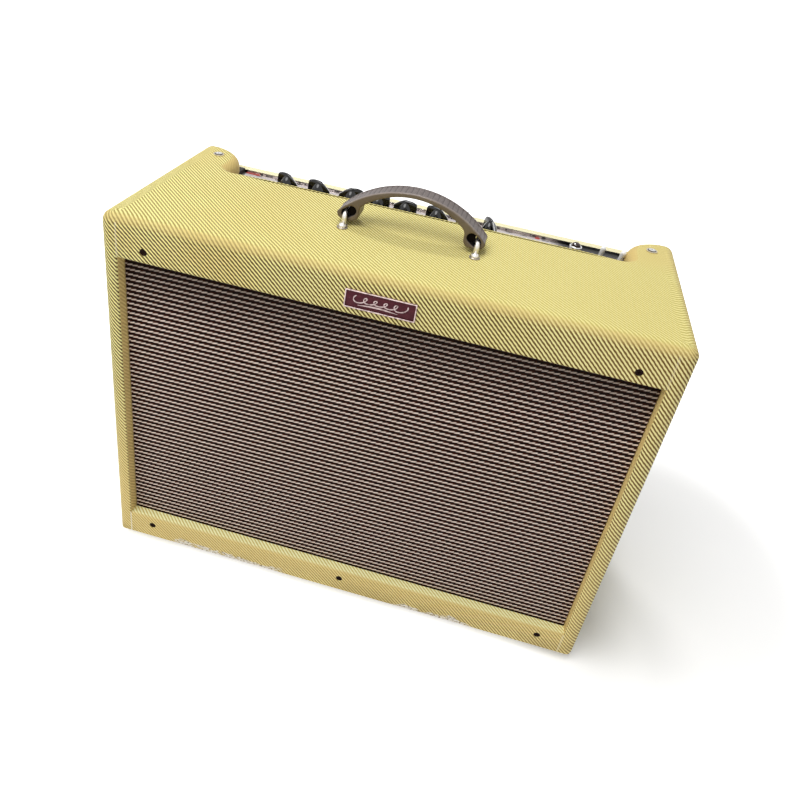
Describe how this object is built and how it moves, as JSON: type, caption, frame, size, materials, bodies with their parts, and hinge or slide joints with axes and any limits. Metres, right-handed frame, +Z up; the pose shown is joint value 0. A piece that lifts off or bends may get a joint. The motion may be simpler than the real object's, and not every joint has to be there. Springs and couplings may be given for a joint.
{
  "type": "guitar amplifier",
  "caption": "Open-backed valve combo guitar amplifier in a tweed-covered wooden cabinet, with a woven grille, top-rear control panel, pointer knobs and a carrying handle.",
  "frame": {"origin": "on the floor under the middle of the cabinet's footprint", "axes": "+Z up, -Y towards the front grille, +X towards the cabinet's left-to-right as seen from the front"},
  "size_m": [0.597, 0.2608, 0.509],
  "materials": {
    "tweed": "lacquered woven cotton tweed glued over pine, straw yellow with brown diagonal stripes",
    "pine": "bare softwood board",
    "grille_cloth": "woven oxblood grille cloth with pale horizontal threads",
    "nickel": "nickel plated steel",
    "black_steel": "blackened steel",
    "badge_enamel": "maroon enamel in a plated rim",
    "handle_leather": "moulded grey-brown leather-grain handle",
    "rubber": "moulded black rubber",
    "zinc_steel": "zinc plated steel sheet",
    "chrome_panel": "polished chrome plate with printed dial marks",
    "jack_plastic": "black moulded plastic",
    "knob_plastic": "glossy black moulding with a white pointer line",
    "jewel": "faceted red lens",
    "circuit_board": "glass fibre board with green mask",
    "component_sleeve": "sleeved capacitors",
    "core_paint": "black painted steel bells round a laminated core",
    "valve_glass": "clear blown glass",
    "ceramic": "glazed ceramic",
    "gasket_felt": "cork and felt ring",
    "basket_paint": "black painted stamped steel",
    "ferrite": "ground ferrite",
    "cone_paper": "pressed paper pulp",
    "coil_winding": "copper winding on a former",
    "spider_cloth": "resin-dipped woven cloth",
    "spring_steel": "wound steel springs"
  },
  "bodies": {
    "cabinet": {"side_left": "tweed", "side_right": "tweed", "top_board": "tweed", "bottom_board": "tweed", "front_top_rail": "tweed", "front_bottom_rail": "tweed", "baffle_board": "pine", "grille_cloth": "grille_cloth", "back_cleats": "pine", "upper_back_panel": "tweed", "lower_back_panel": "tweed", "wood_screws": "nickel", "front_screws": "black_steel", "badge": "badge_enamel", "handle_straps": "nickel", "strap_screws": "nickel", "feet": "rubber", "chassis_screws": "nickel", "chassis": "zinc_steel", "control_panel": "chrome_panel", "potentiometers": "zinc_steel", "jacks": "jack_plastic", "panel_nuts": "nickel", "panel_switches": "jack_plastic", "pilot_bezel": "nickel", "pilot_jewel": "jewel", "circuit_board": "circuit_board", "board_components": "component_sleeve", "power_transformer": "core_paint", "output_transformer": "core_paint", "power_valves": "valve_glass", "preamp_valves": "valve_glass", "valve_sockets": "ceramic", "mains_inlet": "jack_plastic", "speaker_gasket": "gasket_felt", "speaker_basket": "basket_paint", "speaker_top_plate": "zinc_steel", "speaker_magnet": "ferrite", "speaker_yoke": "zinc_steel", "speaker_spider": "spider_cloth", "speaker_surround": "cone_paper", "speaker_bolts": "nickel", "reverb_tank": "zinc_steel", "reverb_springs": "spring_steel"},
    "handle": {"handle": "handle_leather"},
    "toggle_standby": {"toggle_standby": "nickel"},
    "toggle_power": {"toggle_power": "nickel"},
    "button_bright": {"button_bright": "nickel"},
    "button_channel": {"button_channel": "nickel"},
    "cone": {"speaker_cone": "cone_paper", "speaker_dust_cap": "cone_paper", "voice_coil": "coil_winding"},
    "knob_presence": {"knob_presence": "knob_plastic"},
    "knob_reverb": {"knob_reverb": "knob_plastic"},
    "knob_master": {"knob_master": "knob_plastic"},
    "knob_middle": {"knob_middle": "knob_plastic"},
    "knob_bass": {"knob_bass": "knob_plastic"},
    "knob_treble": {"knob_treble": "knob_plastic"},
    "knob_drive": {"knob_drive": "knob_plastic"},
    "knob_volume": {"knob_volume": "knob_plastic"}
  },
  "joints": [
    {"name": "presence_turn", "type": "hinge", "parent": "cabinet", "child": "knob_presence", "pos_m": [-0.175, 0.086, 0.446], "axis": [0, 0, 1], "range_deg": [-218, 82]},
    {"name": "reverb_turn", "type": "hinge", "parent": "cabinet", "child": "knob_reverb", "pos_m": [-0.1348, 0.086, 0.446], "axis": [0, 0, 1], "range_deg": [-226, 74]},
    {"name": "master_turn", "type": "hinge", "parent": "cabinet", "child": "knob_master", "pos_m": [-0.0933, 0.086, 0.446], "axis": [0, 0, 1], "range_deg": [-76, 224]},
    {"name": "middle_turn", "type": "hinge", "parent": "cabinet", "child": "knob_middle", "pos_m": [-0.059, 0.086, 0.446], "axis": [0, 0, 1], "range_deg": [-64, 236]},
    {"name": "bass_turn", "type": "hinge", "parent": "cabinet", "child": "knob_bass", "pos_m": [-0.0248, 0.086, 0.446], "axis": [0, 0, 1], "range_deg": [-52, 248]},
    {"name": "treble_turn", "type": "hinge", "parent": "cabinet", "child": "knob_treble", "pos_m": [0.0141, 0.086, 0.446], "axis": [0, 0, 1], "range_deg": [-220, 80]},
    {"name": "drive_turn", "type": "hinge", "parent": "cabinet", "child": "knob_drive", "pos_m": [0.047, 0.086, 0.446], "axis": [0, 0, 1], "range_deg": [-140, 160]},
    {"name": "volume_turn", "type": "hinge", "parent": "cabinet", "child": "knob_volume", "pos_m": [0.0793, 0.086, 0.446], "axis": [0, 0, 1], "range_deg": [-178, 122]},
    {"name": "standby_flip", "type": "hinge", "parent": "cabinet", "child": "toggle_standby", "pos_m": [0.2113, 0.086, 0.434], "axis": [1, 0, 0], "range_deg": [-26, 0]},
    {"name": "power_flip", "type": "hinge", "parent": "cabinet", "child": "toggle_power", "pos_m": [0.2332, 0.086, 0.434], "axis": [1, 0, 0], "range_deg": [-26, 0]},
    {"name": "bright_press", "type": "slide", "parent": "cabinet", "child": "button_bright", "axis": [0, 0, -1], "range_m": [0, 0.0025], "stiffness_N_per_m": 400, "springref_m": -0.002},
    {"name": "channel_press", "type": "slide", "parent": "cabinet", "child": "button_channel", "axis": [0, 0, -1], "range_m": [0, 0.0025], "stiffness_N_per_m": 400, "springref_m": -0.002},
    {"name": "handle_lift", "type": "slide", "parent": "cabinet", "child": "handle", "axis": [0, 0, 1], "range_m": [0, 0.0037]},
    {"name": "cone_stroke", "type": "slide", "parent": "cabinet", "child": "cone", "axis": [0, 1, 0], "range_m": [-0.003, 0.003], "stiffness_N_per_m": 1800, "deforming": ["speaker_surround", "speaker_spider"]}
  ]
}
